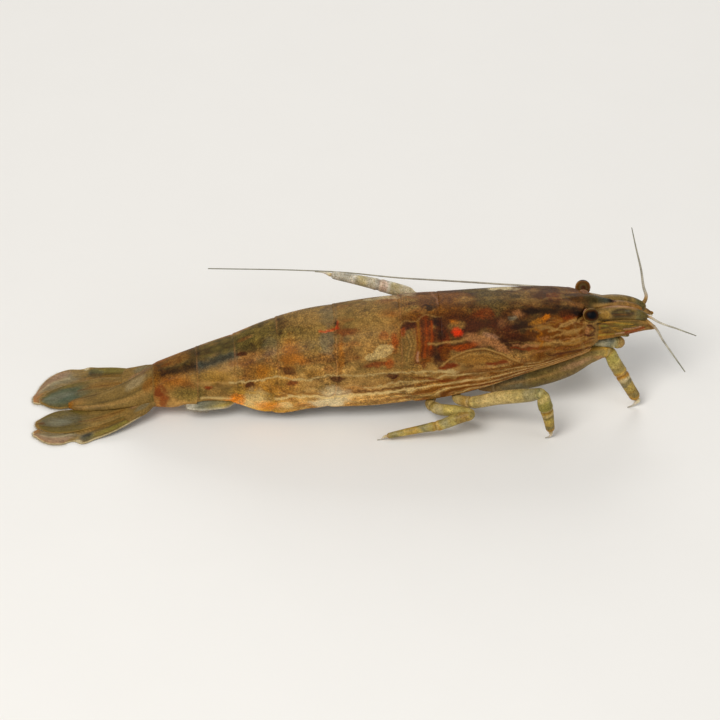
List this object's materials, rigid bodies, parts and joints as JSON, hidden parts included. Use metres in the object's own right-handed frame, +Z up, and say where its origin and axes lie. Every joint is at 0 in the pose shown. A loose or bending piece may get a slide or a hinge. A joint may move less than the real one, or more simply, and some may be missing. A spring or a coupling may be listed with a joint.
{
  "type": "freshwater fan shrimp",
  "caption": "Life-size freshwater fan shrimp standing on a flat surface: smooth ringed shell, short beak, stalked eyes, long thin feelers, bent walking legs and a spread tail fan.",
  "frame": {"origin": "on the floor, under the middle of the whole model's box, feelers included", "axes": "+X toward the head, +Y to the animal's left, +Z up"},
  "size_m": [0.0715, 0.0251, 0.0182],
  "materials": {
    "shell": "smooth, slightly wet brown-olive shell with fine stippling",
    "fin": "thin olive-tan plate, slightly translucent",
    "limb": "smooth pale yellow-olive limb with darker bands",
    "feeler": "ivory-pink thread, finely ringed",
    "eye": "glossy blue-black eye"
  },
  "bodies": {
    "root": {"antenna_base_left": "limb", "antenna_base_right": "limb", "antenna_left": "feeler", "antenna_right": "feeler", "antennal_scale_left": "fin", "antennal_scale_right": "fin", "antennule_inner_left": "feeler", "antennule_inner_right": "feeler", "antennule_left": "limb", "antennule_outer_left": "feeler", "antennule_outer_right": "feeler", "antennule_right": "limb", "carapace": "shell", "cheliped_1_left": "limb", "cheliped_1_right": "limb", "cheliped_2_left": "limb", "cheliped_2_right": "limb", "eye_left": "eye", "eye_right": "eye", "eyestalk_left": "limb", "eyestalk_right": "limb", "leg_3_left": "limb", "leg_3_right": "limb", "leg_4_left": "limb", "leg_4_right": "limb", "leg_5_left": "limb", "leg_5_right": "limb", "maxilliped_left": "limb", "maxilliped_right": "limb", "mouth_block": "limb", "pleonite_1": "shell", "pleonite_2": "shell", "pleonite_3": "shell", "pleonite_4": "shell", "pleonite_5": "shell", "pleonite_6": "shell", "pleopod_1_left": "fin", "pleopod_1_right": "fin", "pleopod_2_left": "fin", "pleopod_2_right": "fin", "pleopod_3_left": "fin", "pleopod_3_right": "fin", "pleopod_4_left": "fin", "pleopod_4_right": "fin", "pleopod_5_left": "fin", "pleopod_5_right": "fin", "telson": "fin", "thorax": "limb", "uropod_base_left": "shell", "uropod_base_right": "shell", "uropod_inner_left": "fin", "uropod_inner_right": "fin", "uropod_outer_left": "fin", "uropod_outer_right": "fin"}
  },
  "joints": []
}
